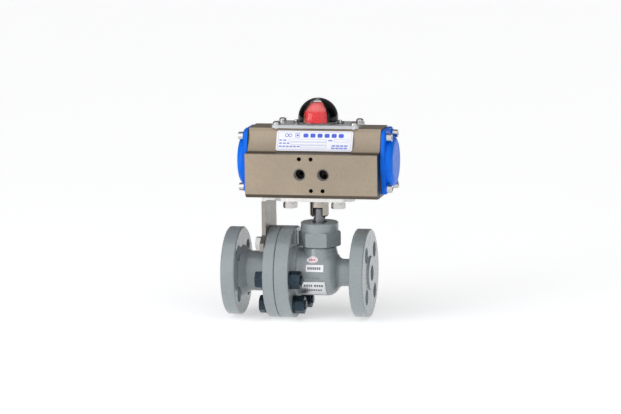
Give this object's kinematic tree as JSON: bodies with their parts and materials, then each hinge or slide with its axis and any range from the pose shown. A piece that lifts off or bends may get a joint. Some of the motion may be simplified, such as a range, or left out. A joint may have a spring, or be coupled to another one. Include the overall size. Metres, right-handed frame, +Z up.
{
  "type": "pneumatic actuated ball valve",
  "caption": "Flanged quarter-turn ball valve with a rack and pinion air actuator on a bent bracket and a domed position indicator.",
  "frame": {"origin": "centre of the inlet flange's raised face, on the pipe axis", "axes": "+X along the pipe from inlet to outlet, +Z up the stem to the actuator, -Y towards the side with the air ports"},
  "size_m": [0.1762, 0.094, 0.226],
  "materials": {
    "painted_casting": "blue-grey enamel on cast steel, satin gloss",
    "polished_steel": "machined and polished",
    "stem_steel": "dull grey steel with fine turning marks",
    "stainless_steel": "bright stainless steel",
    "bracket_steel": "pressed stainless sheet with a fine brushed grain",
    "black_steel": "black oxide, oily",
    "bronze_anodised": "hard anodised extrusion, champagne bronze, matte",
    "cast_aluminium": "die cast, machined",
    "blue_coating": "bright blue coating on cast aluminium, semi-gloss",
    "seal_rubber": "nitrile rubber",
    "white_polymer": "PTFE",
    "bearing_polymer": "low-friction bearing polymer",
    "black_plastic": "glossy black moulding",
    "red_plastic": "glossy red moulding",
    "yellow_plastic": "glossy yellow moulding",
    "clear_plastic": "clear moulded plastic",
    "white_label": "printed film",
    "nameplate_metal": "thin etched plate"
  },
  "bodies": {
    "housing": {"valve_body": "painted_casting", "tail_piece": "painted_casting", "joint_gasket": "seal_rubber", "inlet_seat": "white_polymer", "outlet_seat": "white_polymer", "thrust_washer": "white_polymer", "stem_packing": "white_polymer", "gland_bush": "polished_steel", "packing_nut": "painted_casting", "joint_bolts": "black_steel", "joint_washers": "black_steel", "joint_nuts": "black_steel", "bracket_screws": "stainless_steel", "bracket_spring_washers": "stainless_steel", "mounting_bracket": "bracket_steel", "base_screws": "stainless_steel", "base_spring_washers": "stainless_steel", "actuator_body": "bronze_anodised", "left_end_cap": "blue_coating", "right_end_cap": "blue_coating", "left_cap_gasket": "seal_rubber", "right_cap_gasket": "seal_rubber", "left_cap_screws": "stainless_steel", "right_cap_screws": "stainless_steel", "pinion_lower_bearing": "bearing_polymer", "pinion_upper_bearing": "bearing_polymer", "indicator_plate": "clear_plastic", "plate_screws": "stainless_steel", "indicator_mask": "black_plastic", "indicator_dome": "clear_plastic", "dome_screws": "stainless_steel", "actuator_label": "white_label", "valve_nameplate": "nameplate_metal", "oval_sticker": "white_label", "plain_sticker": "white_label"},
    "drive_train": {"pinion": "polished_steel", "pinion_seals": "seal_rubber", "pinion_thrust_washer": "bearing_polymer", "pinion_circlip": "black_steel", "drive_coupling": "stainless_steel", "stem": "stem_steel", "ball": "polished_steel", "indicator_rotor": "black_plastic", "closed_markers": "red_plastic", "open_markers": "yellow_plastic"},
    "right_piston_set": {"right_piston": "cast_aluminium", "right_piston_seal": "seal_rubber", "right_guide_ring": "bearing_polymer", "right_rack_pad": "bearing_polymer"},
    "left_piston_set": {"left_piston": "cast_aluminium", "left_piston_seal": "seal_rubber", "left_guide_ring": "bearing_polymer", "left_rack_pad": "bearing_polymer"}
  },
  "joints": [
    {"name": "stem_turn", "type": "hinge", "parent": "housing", "child": "drive_train", "pos_m": [0.096, 0, 0.1], "axis": [0, 0, 1], "range_deg": [0, 90]},
    {"name": "right_piston_slide", "type": "slide", "parent": "housing", "child": "right_piston_set", "axis": [1, 0, 0], "range_m": [0, 0.01886]},
    {"name": "left_piston_slide", "type": "slide", "parent": "housing", "child": "left_piston_set", "axis": [-1, 0, 0], "range_m": [0, 0.01886]}
  ],
  "couplings": [
    {"joint": "right_piston_slide", "follows": "stem_turn", "m_per_rad": 0.012},
    {"joint": "left_piston_slide", "follows": "stem_turn", "m_per_rad": 0.012}
  ]
}
